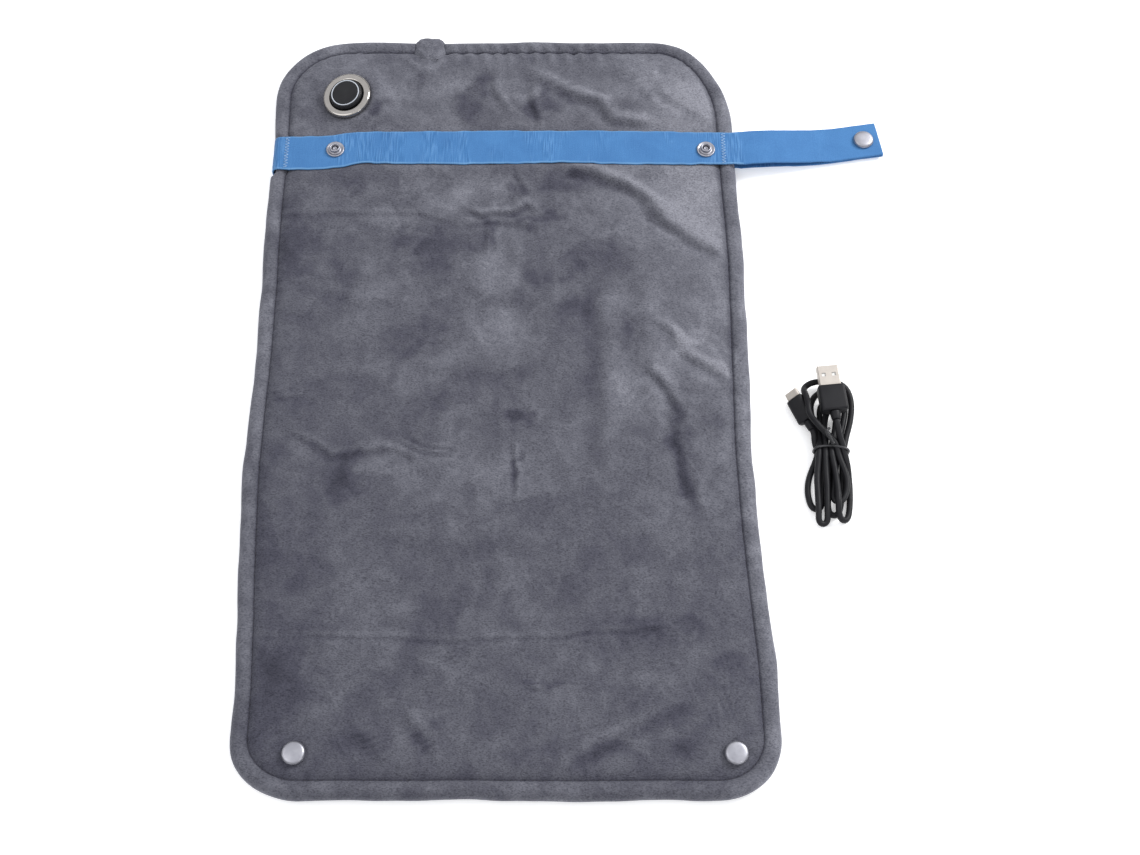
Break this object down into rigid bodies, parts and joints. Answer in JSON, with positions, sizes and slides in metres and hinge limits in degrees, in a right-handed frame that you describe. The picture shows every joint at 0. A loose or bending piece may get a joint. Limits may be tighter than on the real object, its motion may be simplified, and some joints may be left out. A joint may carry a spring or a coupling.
{
  "type": "heating wrap",
  "caption": "Plush electric heating wrap with a round push-button controller, an elastic snap belt, a supply socket at one end and a loose supply cable tied in a hank.",
  "frame": {"origin": "centre of the wrap's flat back face, on the surface that it lies on", "axes": "+Z out of the front face, +Y to the controller end, +X to the loose end of the belt"},
  "size_m": [0.3806, 0.484, 0.0205],
  "materials": {
    "plush": "short grey pile",
    "wadding": "white polyester fibre",
    "carrier_felt": "non-woven felt",
    "wire_insulation": "silicone insulation",
    "belt_webbing": "blue woven elastic",
    "nickel": "satin nickel plate",
    "bezel_nickel": "polished nickel plate",
    "black_plastic": "moulded black plastic",
    "ring_lens": "pale translucent ring",
    "circuit_green": "solder mask green",
    "white_plastic": "moulded white plastic",
    "cord_rubber": "matte black jacket",
    "plug_shell": "pale nickel plated steel",
    "tie_plastic": "plastic covered wire tie"
  },
  "bodies": {
    "upper_panel": {"front_cover_upper": "plush", "back_cover_upper": "plush", "wadding_upper": "wadding", "heater_carrier_upper": "carrier_felt", "heating_wire_upper": "wire_insulation", "heater_lead": "wire_insulation", "thermal_cutout": "white_plastic", "inlet_lead": "cord_rubber", "elastic_band": "belt_webbing", "band_stud_left": "nickel", "band_stud_right": "nickel", "band_eyelet_left": "nickel", "band_eyelet_right": "nickel", "bezel_ring": "bezel_nickel", "clamp_washer": "nickel", "controller_housing": "black_plastic", "housing_cover": "black_plastic", "circuit_board": "circuit_green", "tact_switch": "black_plastic", "inlet_sleeve": "plush", "inlet_housing": "black_plastic", "inlet_shell": "plug_shell", "inlet_tongue": "black_plastic"},
    "button": {"button_cap": "black_plastic", "light_ring": "ring_lens"},
    "lower_panel": {"front_cover_lower": "plush", "back_cover_lower": "plush", "wadding_lower": "wadding", "heater_carrier_lower": "carrier_felt", "heating_wire_lower": "wire_insulation", "corner_cap_left": "nickel", "corner_cap_right": "nickel", "corner_socket_left": "nickel", "corner_socket_right": "nickel"},
    "strap_tail": {"tail_front_layer": "belt_webbing", "tail_back_layer": "belt_webbing", "tail_cap": "nickel", "tail_socket": "nickel"},
    "usb_cable": {"cable_hank": "cord_rubber", "twist_tie": "tie_plastic", "device_plug_shell": "plug_shell", "device_plug_overmold": "cord_rubber", "device_plug_strain_relief": "cord_rubber", "usb_a_shell": "plug_shell", "usb_a_overmold": "cord_rubber", "usb_a_strain_relief": "cord_rubber", "usb_a_tongue": "white_plastic"}
  },
  "joints": [
    {"name": "button_press", "type": "slide", "parent": "upper_panel", "child": "button", "axis": [0.1799, 0.1, -0.9786], "range_m": [0, 0.0008], "stiffness_N_per_m": 300},
    {"name": "pad_fold", "type": "hinge", "parent": "upper_panel", "child": "lower_panel", "pos_m": [0, -0.052, 0.012], "axis": [-1, 0, 0], "range_deg": [0, 174]},
    {"name": "tail_swing", "type": "hinge", "parent": "upper_panel", "child": "strap_tail", "pos_m": [0.1435, 0.154, 0.0125], "axis": [0, -1, 0], "range_deg": [0, 165]},
    {"name": "cable_slide", "type": "slide", "parent": "upper_panel", "child": "usb_cable", "axis": [1, 0, 0], "range_m": [0, 0.1]}
  ]
}
